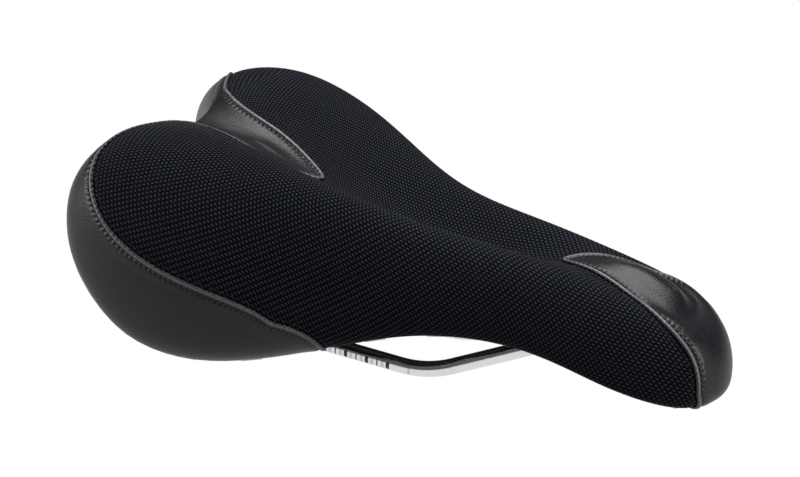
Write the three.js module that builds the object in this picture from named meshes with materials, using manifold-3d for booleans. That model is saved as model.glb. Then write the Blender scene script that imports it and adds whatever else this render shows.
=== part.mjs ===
// A padded bicycle saddle, in millimetres.
// The origin lies midway between the two rails, on their axes, at the middle of the straight run
// that a seatpost clamps. +X points to the nose, +Y to the rider's left and +Z up.
//
// From the outside in, the saddle is a sewn cover (one fabric panel and two synthetic leather ones),
// a foam pad and a moulded base shell. Two bent steel rails plug into sockets under the shell. The
// cover wraps round the shell's rim and is stapled to the flange under it.
import * as THREE from 'three';
import * as BufferGeometryUtils from 'three/addons/utils/BufferGeometryUtils.js';
import Module from 'manifold-3d';

const wasm = await Module();
wasm.setup();

// ---------------------------------------------------------------- driving dimensions

// Four guide lines run along the left half, from the rear centre to the nose centre, through the
// same number of stations. The right half is their mirror image.
const WIDEST_LINE = [
  [-102, 0, 61], [-117, 32, 58], [-127, 62, 51], [-100, 78, 34], [-51, 75, 23], [-9, 53, 27],
  [28, 39, 35], [71, 33, 35], [111, 32, 24], [143, 22, 23], [155, 0, 23],
];
const CREST_LINE = [
  [-100, 0, 78], [-95, 25, 86], [-80, 45, 93], [-59, 49, 92], [-34, 45, 85], [-5, 34, 75],
  [26, 24, 67], [66, 19, 63], [104, 16, 58], [130, 14, 51], [137, 0, 48],
];
const CENTRE_LINE = [
  [-70, 0, 76], [-64, 0, 75], [-56, 0, 72], [-44, 0, 68], [-25, 0, 63], [0, 0, 57],
  [30, 0, 53], [65, 0, 55], [100, 0, 63], [120, 0, 60], [126, 0, 57],
];
const RIM_LINE = [
  [-96, 0, 41], [-110, 32, 35], [-115, 57, 26], [-93, 73, 7], [-52, 66, 0], [-11, 46, 9],
  [28, 35, 22], [69, 29, 26], [109, 28, 20], [139, 18, 14], [150, 0, 15],
];
const SHOULDER_POWER = 2.0;      // 2 makes the shoulder a quarter ellipse, more makes it squarer
const SIDE_FULLNESS = 0.78;      // how far down the side wall stays at its widest
const LIP_WIDTH = 8;             // the part of the cover that turns in under the rim
const LIP_DROP = 1.5;            // how far the turned edge sags below the rim line
const LIP_ROUNDING = 0.35;       // the share of the lip's width that rounds over the rim

// Along the saddle, u is 0 at the rear centre and 1 at the nose centre. Across it, t is 0 on the
// centre line, 1 on the crest, 2 at the widest, 3 on the rim and 4 at the inner edge of the lip.
// Each seam is a route of [u, t] points from its tip on the centre line down to the rim.
const REAR_SEAM = [
  [0.342, 0], [0.258, 0.21], [0.118, 0.485], [0.096, 1.11],
  [0.176, 1.41], [0.303, 1.8], [0.455, 2], [0.504, 3],
];
const NOSE_SEAM = [[0.733, 0], [0.801, 0.75], [0.893, 1.45], [0.919, 2.08], [0.931, 3]];

const COVER_THICKNESS = 1.2;
const GAP = 0.4;                 // left between pieces that touch
const BOND_GAP = 0.5;            // the film of glue between the foam and the base shell
const FLANGE_GAP = 0.3;          // slack of the cover round the shell's rim
const SEAM_GAP = 0.2;            // half of the slit between two panels
const SHELL_THICKNESS = 2.5;
const FOAM_SHARE = 0.38;         // depth of the foam under the crest, as a share of the height there
const FOAM_AT_CENTRE = 12;
const FOAM_AT_SIDE = 5;
const FOAM_END = 2.7;            // the foam stops just above the rim, at this t

const RAIL_DIAMETER = 7;
const RAIL_SPACING = 44;         // between the axes of the two clamped runs
const RAIL_SIDES = 12;
const RAIL_STEPS = 40;
// The left rail's corners before bending, rear end first, and how far each bend reaches from them.
const RAIL_CORNERS = [
  [-95, 39, 48], [-78, 34, 43], [-38, RAIL_SPACING / 2, 0],
  [30, RAIL_SPACING / 2, 0], [84, 12, 27], [119, 8, 32],
];
const BEND_REACH = [0, 8, 13, 12, 12, 0];
const HOLE_CLEARANCE = 0.3;      // round a rail in its socket and a staple in its hole
const SOCKET_WALL = 4;
const SOCKET_MARGIN = 2;         // more moulding between a socket and the middle of the saddle
const REAR_SOCKET_LENGTH = 15;
const NOSE_SOCKET_LENGTH = 24;
const SOCKET_END = 4;            // the closed wall behind a rail's end

const THREAD_RADIUS = 0.3;
const THREAD_LIFT = 2.0;         // a topstitch lies on the cover, clear of its facets
const STITCH_ROW_LEATHER = 1.6;  // distance of each row from the seam
const STITCH_ROW_FABRIC = 2.6;
const THREAD_STEPS = 70;
const THREAD_SAMPLES_PER_T = 12;

const STAPLES_PER_SIDE = 13;
const STAPLE_CROWN = 9;
const STAPLE_LEG = 3.4;
const STAPLE_WIRE = 0.9;
const STAPLE_T = 3.6;            // the row of staples, between the rim and the lip's edge

const SLOT_FROM = -36;
const SLOT_TO = 52;
const SLOT_WIDTH = 14;
const RIB_THICKNESS = 1.8;
const RIB_HEIGHT = 6;
const RIB_STATIONS = [-66, -30, 6, 40, 74];
const RIB_OFFSET = 12;           // the two long ribs run beside the slot
const CROSS_RIB_HALF = 46;
const LONG_RIB_FROM = -88;
const LONG_RIB_TO = 98;
const ABOVE_ALL = 100;           // higher than any point of the saddle

const material = (color, roughness, metalness) =>
  new THREE.MeshStandardMaterial({ color, roughness, metalness });
const FABRIC = material(0x17181c, 0.9, 0);
const LEATHER = material(0x1c1c1f, 0.45, 0);
const THREAD = material(0x3a3b40, 0.7, 0);
const FOAM = material(0x2f3033, 0.95, 0);
const MOULDING = material(0x141415, 0.55, 0);
const STEEL = material(0xc9cbce, 0.25, 1);
const STAPLE_STEEL = material(0xa9abae, 0.35, 1);

// ---------------------------------------------------------------- guides and surfaces

const smooth = (x) => {
  const s = Math.min(Math.max(x, 0), 1);
  return s * s * (3 - 2 * s);
};

// A cubic spline through evenly spaced values, read at 0 to 1. With flat ends its slope is zero at
// both ends, otherwise its curvature is, so a mirrored half joins its twin without a kink.
function spline(values, flatEnds) {
  const last = values.length - 1;
  const diagonal = values.map(() => 4);
  const right = values.map((v, i) => (i > 0 && i < last ? 6 * (values[i + 1] - 2 * v + values[i - 1]) : 0));
  const upper = values.map(() => 1);
  const lower = values.map(() => 1);
  diagonal[0] = 2;
  diagonal[last] = 2;
  if (flatEnds) {
    right[0] = 6 * (values[1] - values[0]);
    right[last] = 6 * (values[last - 1] - values[last]);
  } else {
    upper[0] = 0;
    lower[last] = 0;
  }
  for (let i = 1; i <= last; i++) {
    const share = lower[i] / diagonal[i - 1];
    diagonal[i] -= share * upper[i - 1];
    right[i] -= share * right[i - 1];
  }
  const bend = new Array(last + 1);
  bend[last] = right[last] / diagonal[last];
  for (let i = last - 1; i >= 0; i--) bend[i] = (right[i] - upper[i] * bend[i + 1]) / diagonal[i];
  return (place) => {
    const s = Math.min(Math.max(place, 0), 1) * last;
    const i = Math.min(Math.floor(s), last - 1);
    const b = s - i;
    const a = 1 - b;
    return a * values[i] + b * values[i + 1] + ((a ** 3 - a) * bend[i] + (b ** 3 - b) * bend[i + 1]) / 6;
  };
}

// The centre line lies in the plane of symmetry, so its y is zero all along.
function guide(points) {
  const x = spline(points.map((p) => p[0]), true);
  const y = spline(points.map((p) => p[1]), false);
  const z = spline(points.map((p) => p[2]), true);
  return (u) => new THREE.Vector3(x(u), y(u), z(u));
}
const widest = guide(WIDEST_LINE);
const crest = guide(CREST_LINE);
const centre = guide(CENTRE_LINE);
const rim = guide(RIM_LINE);

const bezier = (a, b, c, s) => new THREE.Vector3()
  .addScaledVector(a, (1 - s) ** 2)
  .addScaledVector(b, 2 * s * (1 - s))
  .addScaledVector(c, s * s);

// Horizontal direction from the rim towards the inside of the saddle.
function inward(u) {
  const step = 0.002;
  const along = rim(Math.min(u + step, 1)).sub(rim(Math.max(u - step, 0)));
  if (u <= 0 || u >= 1) along.x = 0;
  return new THREE.Vector3(along.y, -along.x, 0).normalize();
}

// The cover's outside on the left half: a hollow from the centre line up to the crest, a shoulder
// down to the widest line, a side wall down to the rim, and a lip that turns in under it.
function coverOutside(u, t) {
  if (t <= 1) {
    const from = centre(u);
    const to = crest(u);
    const p = from.clone().lerp(to, t);
    p.z = from.z + (to.z - from.z) * smooth(t);
    return p;
  }
  const side = widest(u);
  if (t <= 2) {
    const top = crest(u);
    const angle = (t - 1) * Math.PI / 2;
    const out = Math.sin(angle) ** (2 / SHOULDER_POWER);
    const up = Math.cos(angle) ** (2 / SHOULDER_POWER);
    return new THREE.Vector3(
      top.x + (side.x - top.x) * out, top.y + (side.y - top.y) * out, side.z + (top.z - side.z) * up);
  }
  const edge = rim(u);
  if (t <= 3) {
    const middle = side.clone();
    middle.z += (edge.z - side.z) * SIDE_FULLNESS;
    return bezier(side, middle, edge, t - 2);
  }
  const turn = edge.clone().addScaledVector(inward(u), LIP_ROUNDING * LIP_WIDTH);
  turn.z -= LIP_DROP;
  const end = edge.clone().addScaledVector(inward(u), LIP_WIDTH);
  return bezier(edge, turn, end, t - 3);
}

// Outward unit normal of a surface on the left half; on the centre plane it has no y part.
function normalOf(surface, u, t) {
  const step = 0.004;
  const uSafe = Math.min(Math.max(u, t < 0.1 ? 0.03 : step), t < 0.1 ? 0.97 : 1 - step);
  const tSafe = Math.min(Math.max(t, step), 4 - step);
  const along = surface(uSafe + step, tSafe).sub(surface(uSafe - step, tSafe));
  const across = surface(uSafe, tSafe + step).sub(surface(uSafe, tSafe - step));
  const normal = along.cross(across);
  if (u <= 0 || u >= 1 || t <= 0) normal.y = 0;
  return normal.normalize();
}

// A surface at a set depth under another one.
const under = (surface, depth) => (u, t) =>
  surface(u, t).addScaledVector(normalOf(surface, u, t), -depth);

const coverInside = under(coverOutside, COVER_THICKNESS);
const foamOutside = under(coverOutside, COVER_THICKNESS + GAP);

// The base shell's outside lies below the top of the pad and inside its walls. The pad is deepest
// under the crests, and its side wall thins out towards the rim.
function shellStep(u, t) {
  const wall = COVER_THICKNESS + GAP;
  if (t >= 2) {
    const sideDepth = wall + Math.max(FOAM_AT_SIDE * (3 - t), FLANGE_GAP);
    return normalOf(coverOutside, u, t).multiplyScalar(-sideDepth);
  }
  const crestDepth = FOAM_SHARE * (crest(u).z - rim(u).z);
  const depth = FOAM_AT_CENTRE + (crestDepth - FOAM_AT_CENTRE) * smooth(t);
  const step = normalOf(coverOutside, u, 2).multiplyScalar(-(wall + FOAM_AT_SIDE) * smooth(t));
  step.z -= depth * (1 - smooth(t - 1));
  return step;
}
const shellOutside = (u, t) => coverOutside(u, t).add(shellStep(u, t));
// The way through the shell's wall: straight up under the pad, and square to the cover at the sides.
function throughShell(u, t) {
  const toSide = smooth(t - 1);
  const through = normalOf(coverOutside, u, Math.max(t, 2)).multiplyScalar(toSide);
  through.z += 1 - toSide;
  return through.normalize();
}
const shellInside = (u, t) => shellOutside(u, t).addScaledVector(throughShell(u, t), -SHELL_THICKNESS);
const foamInside = (u, t) => shellOutside(u, t).addScaledVector(throughShell(u, t), BOND_GAP);

// ---------------------------------------------------------------- solids from surfaces

// The rows crowd together where the rear seam runs lengthwise, just above the widest line, and the
// fabric's columns where its outline is round, next to that seam.
const ROWS = [0, 0.25, 0.5, 0.8, 1.1, 1.4, 1.65, 1.8, 1.9, 2, 2.3, FOAM_END, 3, 3.5, 4];
const REAR_COLUMNS = 8;
const FABRIC_COLUMNS = 11;
const FABRIC_CROWDING = 1.3;
const NOSE_COLUMNS = 4;
const SHELL_ROOF_END = 1.7;      // ribs and sockets hang from the roof, which ends at this t

// The place u of a seam at any t. Below the rim the seam keeps straight on under the lip.
function seamOf(route) {
  const place = spline(route.map((p) => p[0]), true);
  const across = spline(route.map((p) => p[1]), false);
  return (t) => {
    let low = 0;
    let high = 1;
    while (high - low > 1e-6) {
      const middle = (low + high) / 2;
      if (across(middle) < t) low = middle;
      else high = middle;
    }
    return place(low);
  };
}
const rearSeam = seamOf(REAR_SEAM);
const noseSeam = seamOf(NOSE_SEAM);

// The change of u that moves a point of a seam by a distance square to it, in the surface.
function seamShift(seam, t, distance) {
  const step = 0.01;
  const u = seam(t);
  const before = coverOutside(seam(Math.max(t - step, 0)), Math.max(t - step, 0));
  const alongSeam = coverOutside(seam(t + step), t + step).sub(before);
  if (t === 0) alongSeam.set(0, 1, 0);
  const alongGuides = coverOutside(u + step, t).sub(coverOutside(u - step, t)).divideScalar(2 * step);
  return distance * alongSeam.length() / alongSeam.cross(alongGuides).length();
}

// Columns between two seams, as functions of t; the rear and nose centres are the outermost ones.
// A crowding above 1 draws them towards the first.
function columnsBetween(from, to, count, crowding = 1) {
  const columns = [];
  for (let i = 0; i <= count; i++) {
    const share = (i / count) ** crowding;
    columns.push((t) => from(t) + (to(t) - from(t)) * share);
  }
  return columns;
}
const rearCentre = () => 0;
const noseCentre = () => 1;
const shifted = (seam, distance) => (t) => seam(t) + seamShift(seam, Math.min(t, 3.9), distance);

// Each panel stops short of its seams; the pad and the shell run through under all of them.
const rearPanel = columnsBetween(rearCentre, shifted(rearSeam, -SEAM_GAP), REAR_COLUMNS);
const fabricPanel = columnsBetween(
  shifted(rearSeam, SEAM_GAP), shifted(noseSeam, -SEAM_GAP), FABRIC_COLUMNS, FABRIC_CROWDING);
const nosePanel = columnsBetween(shifted(noseSeam, SEAM_GAP), noseCentre, NOSE_COLUMNS);
const ALL_COLUMNS = [...rearPanel, ...fabricPanel, ...nosePanel];

// A closed wall between an outside and an inside surface, over both halves of the saddle.
function wallGeometry(columns, rows, outside, inside) {
  const points = [];
  const ids = new Map();
  const pointId = (u, t, mirror) => {
    const p = outside(u, t);
    const q = inside(u, t);
    if (mirror) {
      p.y = -p.y;
      q.y = -q.y;
    }
    const key = p.toArray().map((v) => Math.round(v * 1000) || 0).join();
    if (!ids.has(key)) {
      ids.set(key, points.length);
      points.push([p, q]);
    }
    return ids.get(key);
  };
  // Each four-sided cell is split along its shorter diagonal, which is the same on both halves.
  const diagonal = (from, to) => points[from][0].distanceTo(points[to][0]);
  const faces = [];
  for (const mirror of [false, true]) {
    const grid = columns.map((column) => rows.map((t) => pointId(column(t), t, mirror)));
    for (let i = 0; i + 1 < columns.length; i++) {
      for (let j = 0; j + 1 < rows.length; j++) {
        const quad = [grid[i][j], grid[i + 1][j], grid[i + 1][j + 1], grid[i][j + 1]];
        if (diagonal(quad[1], quad[3]) < diagonal(quad[0], quad[2])) quad.push(quad.shift());
        if (mirror) quad.reverse();
        const [a, b, c, d] = quad;
        if (mirror) faces.push([b, c, d], [b, d, a]);
        else faces.push([a, b, c], [a, c, d]);
      }
    }
  }
  const used = new Set();
  for (const [a, b, c] of faces) {
    for (const edge of [[a, b], [b, c], [c, a]]) used.add(edge.join());
  }
  const count = points.length;
  const index = [];
  for (const [a, b, c] of faces) {
    index.push(a, b, c, c + count, b + count, a + count);
    for (const [from, to] of [[a, b], [b, c], [c, a]]) {
      if (used.has([to, from].join())) continue;
      index.push(to, from, from + count, to, from + count, to + count);
    }
  }
  const geometry = new THREE.BufferGeometry();
  const layers = [...points.map((p) => p[0]), ...points.map((p) => p[1])];
  geometry.setFromPoints(layers);
  geometry.setIndex(index);
  return geometry;
}

// ---------------------------------------------------------------- joining and cutting

function toSolid(geometry, matrix) {
  const bare = geometry.clone();
  if (matrix) bare.applyMatrix4(matrix);
  bare.deleteAttribute('normal');
  bare.deleteAttribute('uv');
  const merged = BufferGeometryUtils.mergeVertices(bare, 1e-4);
  return new wasm.Manifold(new wasm.Mesh({
    numProp: 3,
    vertProperties: new Float32Array(merged.attributes.position.array),
    triVerts: new Uint32Array(merged.index.array),
  }));
}

function toGeometry(solid) {
  const mesh = solid.getMesh();
  const geometry = new THREE.BufferGeometry();
  geometry.setAttribute('position', new THREE.BufferAttribute(new Float32Array(mesh.vertProperties), 3));
  geometry.setIndex(new THREE.BufferAttribute(new Uint32Array(mesh.triVerts), 1));
  return geometry;
}

const boxSolid = (low, high) => {
  const size = high.map((v, i) => v - low[i]);
  const middle = high.map((v, i) => (v + low[i]) / 2);
  return toSolid(new THREE.BoxGeometry(...size), new THREE.Matrix4().makeTranslation(...middle));
};
const MIRROR_Y = new THREE.Matrix4().makeScale(1, -1, 1);

function mirroredGeometry(geometry) {
  const copy = geometry.clone().applyMatrix4(MIRROR_Y);
  const flat = copy.index ? copy.toNonIndexed() : copy;
  flat.deleteAttribute('normal');
  flat.deleteAttribute('uv');
  const merged = BufferGeometryUtils.mergeVertices(flat, 1e-4);
  const index = merged.index.array;
  for (let i = 0; i < index.length; i += 3) [index[i + 1], index[i + 2]] = [index[i + 2], index[i + 1]];
  return merged;
}

const saddle = new THREE.Group();
function addPart(name, geometry, finish) {
  const mesh = new THREE.Mesh(geometry, finish);
  mesh.name = name;
  saddle.add(mesh);
}

// ---------------------------------------------------------------- rails

// Straight runs joined by bends that start and end at a set reach from each corner.
function railPath() {
  const corners = RAIL_CORNERS.map((c) => new THREE.Vector3(...c));
  const path = new THREE.CurvePath();
  let from = corners[0];
  for (let i = 1; i < corners.length; i++) {
    const corner = corners[i];
    const reach = BEND_REACH[i];
    const enter = corner.clone().add(from.clone().sub(corner).setLength(reach));
    path.add(new THREE.LineCurve3(from, reach ? enter : corner));
    if (!reach) break;
    const leave = corner.clone().add(corners[i + 1].clone().sub(corner).setLength(reach));
    path.add(new THREE.QuadraticBezierCurve3(enter, corner, leave));
    from = leave;
  }
  return path;
}

// The section is turned so that it has a flat face straight up and down along the clamped run.
function railGeometry(apothem) {
  const path = railPath();
  const frames = path.computeFrenetFrames(RAIL_STEPS, false);
  const places = path.getSpacedPoints(RAIL_STEPS);
  const clamped = places.reduce((best, p, i) => (Math.abs(p.x) < Math.abs(places[best].x) ? i : best), 0);
  const flatAngle = Math.atan2(frames.binormals[clamped].z, frames.normals[clamped].z);
  const radius = apothem / Math.cos(Math.PI / RAIL_SIDES);
  const section = new THREE.Shape();
  for (let i = 0; i < RAIL_SIDES; i++) {
    const angle = flatAngle + (i + 0.5) * 2 * Math.PI / RAIL_SIDES;
    const corner = [radius * Math.cos(angle), radius * Math.sin(angle)];
    if (i) section.lineTo(...corner);
    else section.moveTo(...corner);
  }
  return new THREE.ExtrudeGeometry(section, { steps: RAIL_STEPS, bevelEnabled: false, extrudePath: path });
}

const leftRail = railGeometry(RAIL_DIAMETER / 2);
addPart('rail_left', leftRail, STEEL);
addPart('rail_right', mirroredGeometry(leftRail), STEEL);

// ---------------------------------------------------------------- staples

// A staple lies along the rim with its crown under the lip and its legs driven up into the flange.
function stapleMatrix(u, side) {
  const step = 0.004;
  const ahead = coverOutside(Math.min(u + step, 1), STAPLE_T);
  const along = ahead.sub(coverOutside(Math.max(u - step, 0), STAPLE_T));
  const down = normalOf(coverOutside, u, STAPLE_T);
  const up = down.clone().negate();
  const seat = coverOutside(u, STAPLE_T).addScaledVector(down, GAP);
  if (side < 0) {
    for (const v of [along, up, seat]) v.y = -v.y;
  }
  const x = along.addScaledVector(up, -along.dot(up)).normalize();
  const z = x.clone().cross(up);
  return new THREE.Matrix4().makeBasis(x, up, z).setPosition(seat);
}

// The wire's outline: a crown below y = 0 and two legs above it, grown all round by a margin.
function stapleGeometry(margin) {
  const half = STAPLE_CROWN / 2 + margin;
  const inner = STAPLE_CROWN / 2 - STAPLE_WIRE - margin;
  const outline = new THREE.Shape();
  outline.moveTo(-half, -STAPLE_WIRE - margin);
  outline.lineTo(half, -STAPLE_WIRE - margin);
  outline.lineTo(half, STAPLE_LEG + margin);
  outline.lineTo(inner, STAPLE_LEG + margin);
  outline.lineTo(inner, margin);
  outline.lineTo(-inner, margin);
  outline.lineTo(-inner, STAPLE_LEG + margin);
  outline.lineTo(-half, STAPLE_LEG + margin);
  outline.closePath();
  const depth = STAPLE_WIRE + 2 * margin;
  return new THREE.ExtrudeGeometry(outline, { depth, bevelEnabled: false }).translate(0, 0, -depth / 2);
}

// The places along the rim are evenly spaced by length, half a step in from both ends.
function evenPlaces(count) {
  const samples = 400;
  const lengths = [0];
  for (let i = 1; i <= samples; i++) {
    const piece = coverOutside(i / samples, STAPLE_T).distanceTo(coverOutside((i - 1) / samples, STAPLE_T));
    lengths.push(lengths[i - 1] + piece);
  }
  const places = [];
  for (let i = 0; i < count; i++) {
    const wanted = lengths[samples] * (i + 0.5) / count;
    places.push(lengths.findIndex((length) => length >= wanted) / samples);
  }
  return places;
}

const staple = stapleGeometry(0);
const stapleCutter = stapleGeometry(HOLE_CLEARANCE);
const stapleHoles = [];
for (const [sideName, side] of [['left', 1], ['right', -1]]) {
  evenPlaces(STAPLES_PER_SIDE).forEach((u, i) => {
    const matrix = stapleMatrix(u, side);
    const number = String(i + 1).padStart(2, '0');
    addPart(`staple_${sideName}_${number}`, staple.clone().applyMatrix4(matrix), STAPLE_STEEL);
    stapleHoles.push(toSolid(stapleCutter, matrix));
  });
}
const cutForStaples = (solid) => stapleHoles.reduce((rest, hole) => rest.subtract(hole), solid);

// ---------------------------------------------------------------- cover panels

function addPanel(name, columns, finish) {
  const wall = wallGeometry(columns, ROWS, coverOutside, coverInside);
  addPart(name, toGeometry(cutForStaples(toSolid(wall))), finish);
}
addPanel('cover_rear_leather', rearPanel, LEATHER);
addPanel('cover_main_fabric', fabricPanel, FABRIC);
addPanel('cover_nose_leather', nosePanel, LEATHER);

// ---------------------------------------------------------------- foam pad

const foamRows = ROWS.filter((t) => t <= FOAM_END);
addPart('foam_pad', wallGeometry(ALL_COLUMNS, foamRows, foamOutside, foamInside), FOAM);

// ---------------------------------------------------------------- base shell

// Everything under the roof of the shell, down to a floor: it trims the ribs and the sockets.
function underRoof(low) {
  const rows = ROWS.filter((t) => t < SHELL_ROOF_END);
  const roof = (u, t) => shellOutside(u, t).add(new THREE.Vector3(0, 0, -SHELL_THICKNESS / 2));
  const floor = (u, t) => low(roof(u, t));
  return toSolid(wallGeometry(ALL_COLUMNS, rows, roof, floor));
}

function ribs() {
  const band = underRoof((p) => p.setZ(p.z - SHELL_THICKNESS / 2 - RIB_HEIGHT));
  const half = RIB_THICKNESS / 2;
  let all = null;
  const addRib = (low, high) => {
    const rib = band.intersect(boxSolid(low, high));
    all = all ? all.add(rib) : rib;
  };
  for (const x of RIB_STATIONS) addRib([x - half, -CROSS_RIB_HALF, 0], [x + half, CROSS_RIB_HALF, ABOVE_ALL]);
  for (const y of [-RIB_OFFSET, RIB_OFFSET]) {
    addRib([LONG_RIB_FROM, y - half, 0], [LONG_RIB_TO, y + half, ABOVE_ALL]);
  }
  return all;
}

// A block round the rail's end, hung from the roof.
function socketBlock(low, high) {
  return underRoof((p) => p.setZ(0)).intersect(boxSolid(low, high));
}

function reliefSlot() {
  const outline = new THREE.Shape();
  const radius = SLOT_WIDTH / 2;
  outline.moveTo(SLOT_FROM + radius, -radius);
  outline.lineTo(SLOT_TO - radius, -radius);
  outline.absarc(SLOT_TO - radius, 0, radius, -Math.PI / 2, Math.PI / 2, false);
  outline.lineTo(SLOT_FROM + radius, radius);
  outline.absarc(SLOT_FROM + radius, 0, radius, Math.PI / 2, 1.5 * Math.PI, false);
  return toSolid(new THREE.ExtrudeGeometry(outline, { depth: ABOVE_ALL, bevelEnabled: false, curveSegments: 6 }));
}

let shell = toSolid(wallGeometry(ALL_COLUMNS, ROWS, shellOutside, shellInside));
shell = shell.add(ribs());
const reach = RAIL_DIAMETER / 2 + SOCKET_WALL;
const [rearX, rearY, rearZ] = RAIL_CORNERS[0];
for (const side of [1, -1]) {
  const [right, left] = [side * (rearY - reach - SOCKET_MARGIN), side * (rearY + reach)].sort((a, b) => a - b);
  shell = shell.add(socketBlock(
    [rearX - SOCKET_END, right, rearZ - reach - SOCKET_MARGIN],
    [rearX + REAR_SOCKET_LENGTH, left, ABOVE_ALL]));
}
const [noseX, noseY, noseZ] = RAIL_CORNERS[RAIL_CORNERS.length - 1];
const noseHalf = noseY + reach + SOCKET_MARGIN;
shell = shell.add(socketBlock(
  [noseX - NOSE_SOCKET_LENGTH, -noseHalf, noseZ - reach - SOCKET_MARGIN],
  [noseX + SOCKET_END, noseHalf, ABOVE_ALL]));
const railBore = railGeometry(RAIL_DIAMETER / 2 + HOLE_CLEARANCE);
shell = shell.subtract(toSolid(railBore)).subtract(toSolid(mirroredGeometry(railBore)));
shell = shell.subtract(reliefSlot());
shell = cutForStaples(shell);
// Small pockets that the ribs close off against the roof are filled, and loose slivers dropped.
const [shellBody] = shell.decompose().sort((a, b) => b.volume() - a.volume());
addPart('base_shell', toGeometry(shellBody), MOULDING);

// ---------------------------------------------------------------- seam threads

// A topstitch row follows a seam at a set distance, over the saddle from rim to rim.
function threadGeometry(seam, distance) {
  const rimT = 3;
  const count = rimT * THREAD_SAMPLES_PER_T + 1;
  const places = Array.from({ length: count }, (_, i) => i / THREAD_SAMPLES_PER_T);
  const half = places.map((t) => {
    const u = seam(t) + seamShift(seam, t, distance);
    return coverOutside(u, t).addScaledVector(normalOf(coverOutside, u, t), THREAD_LIFT);
  });
  const other = half.slice(1).map((p) => new THREE.Vector3(p.x, -p.y, p.z));
  const points = [...half.slice().reverse(), ...other];
  const path = new THREE.CurvePath();
  for (let i = 1; i < points.length; i++) path.add(new THREE.LineCurve3(points[i - 1], points[i]));
  const r = THREAD_RADIUS;
  const section = new THREE.Shape([[r, 0], [0, r], [-r, 0], [0, -r]].map((p) => new THREE.Vector2(...p)));
  return new THREE.ExtrudeGeometry(section, { steps: THREAD_STEPS, bevelEnabled: false, extrudePath: path });
}
addPart('seam_thread_rear_leather_side', threadGeometry(rearSeam, -STITCH_ROW_LEATHER), THREAD);
addPart('seam_thread_rear_fabric_side', threadGeometry(rearSeam, STITCH_ROW_FABRIC), THREAD);
addPart('seam_thread_nose_fabric_side', threadGeometry(noseSeam, -STITCH_ROW_FABRIC), THREAD);
addPart('seam_thread_nose_leather_side', threadGeometry(noseSeam, STITCH_ROW_LEATHER), THREAD);

export default saddle;
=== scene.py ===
# %% [markdown]
# # A padded bicycle saddle
# A saddle is a sewn cover pulled tight over a moulded foam pad. The pad is bonded to a plastic base
# shell, and two bent steel rails plug into that shell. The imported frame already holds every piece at
# its place and size, so this lesson loads it first and then gives the pieces their surfaces. The
# shell and the staples keep the frame's shape and get a finish only.

# %% Load the frame
import math

import bpy
import numpy as np
from mathutils import Matrix, Vector


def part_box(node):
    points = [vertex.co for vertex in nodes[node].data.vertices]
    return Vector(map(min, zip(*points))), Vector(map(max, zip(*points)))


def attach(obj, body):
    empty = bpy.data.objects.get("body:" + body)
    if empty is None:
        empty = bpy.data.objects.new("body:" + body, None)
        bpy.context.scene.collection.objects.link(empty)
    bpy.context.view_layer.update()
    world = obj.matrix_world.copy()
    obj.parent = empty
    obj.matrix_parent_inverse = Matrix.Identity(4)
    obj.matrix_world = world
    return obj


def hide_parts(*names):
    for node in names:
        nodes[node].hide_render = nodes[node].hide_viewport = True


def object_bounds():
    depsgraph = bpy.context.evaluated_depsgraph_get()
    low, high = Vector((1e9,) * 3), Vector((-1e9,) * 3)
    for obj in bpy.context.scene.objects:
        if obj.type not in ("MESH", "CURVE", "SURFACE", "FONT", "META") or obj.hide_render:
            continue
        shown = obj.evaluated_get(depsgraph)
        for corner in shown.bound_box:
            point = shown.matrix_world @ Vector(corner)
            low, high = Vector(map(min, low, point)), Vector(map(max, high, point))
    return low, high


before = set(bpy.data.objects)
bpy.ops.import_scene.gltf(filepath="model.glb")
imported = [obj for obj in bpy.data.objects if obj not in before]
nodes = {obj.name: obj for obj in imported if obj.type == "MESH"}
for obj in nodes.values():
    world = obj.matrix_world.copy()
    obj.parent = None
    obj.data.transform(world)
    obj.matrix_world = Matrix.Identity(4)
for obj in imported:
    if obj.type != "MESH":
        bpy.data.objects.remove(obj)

MM = 0.001
BODY = "root"
cad_box = [list(corner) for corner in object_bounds()]
print("frame:", len(nodes), "nodes, box in mm", [[round(v / MM, 1) for v in corner] for corner in cad_box])


def clear_selection():
    if bpy.context.object and bpy.context.object.mode != "OBJECT":
        bpy.ops.object.mode_set(mode="OBJECT")
    bpy.ops.object.select_all(action="DESELECT")


def make_active(piece):
    clear_selection()
    piece.select_set(True)
    bpy.context.view_layer.objects.active = piece


# %% [markdown]
# ## The camera
# A long lens from the right side of the saddle, a little above it and turned slightly about its own
# axis. The three directions of the camera are worked out from two angles and a roll, and put into its
# matrix. An empty with a Track To constraint would aim it too, but can't hold the roll.

# %% Camera
AIM = Vector((6.22, -9.68, 52.28)) * MM
AZIMUTH, ELEVATION, ROLL = (math.radians(angle) for angle in (21.11, 23.19, 6.17))
DISTANCE = 866 * MM
back = Vector((
    math.sin(AZIMUTH) * math.cos(ELEVATION), -math.cos(AZIMUTH) * math.cos(ELEVATION), math.sin(ELEVATION)))
level_right = Vector((math.cos(AZIMUTH), math.sin(AZIMUTH), 0))
level_up = back.cross(level_right)
right = level_right * math.cos(ROLL) + level_up * math.sin(ROLL)
up = level_up * math.cos(ROLL) - level_right * math.sin(ROLL)
camera = bpy.data.objects.new("camera", bpy.data.cameras.new("camera"))
bpy.context.scene.collection.objects.link(camera)
camera.data.lens = 90.8
turned = Matrix((right, up, back)).transposed().to_4x4()
camera.matrix_world = Matrix.Translation(AIM + back * DISTANCE) @ turned
bpy.context.scene.camera = camera
print("camera stands", [round(v, 3) for v in AIM + back * DISTANCE], "m")

# %% [markdown]
# ## Studio
# The saddle hangs in a white studio over a pale floor. One wide soft box above gives the broad pale
# sheen on the top, a smaller one at each end draws the curve of the rear corner and of the nose. The
# floor and the backdrop look white to the camera, and the floor nearly so in reflections, which the
# rails need. Both give little fill light, so that the walls of the saddle keep their depth. That is
# done with Light Path, in the floor's and the world's own nodes.


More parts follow.
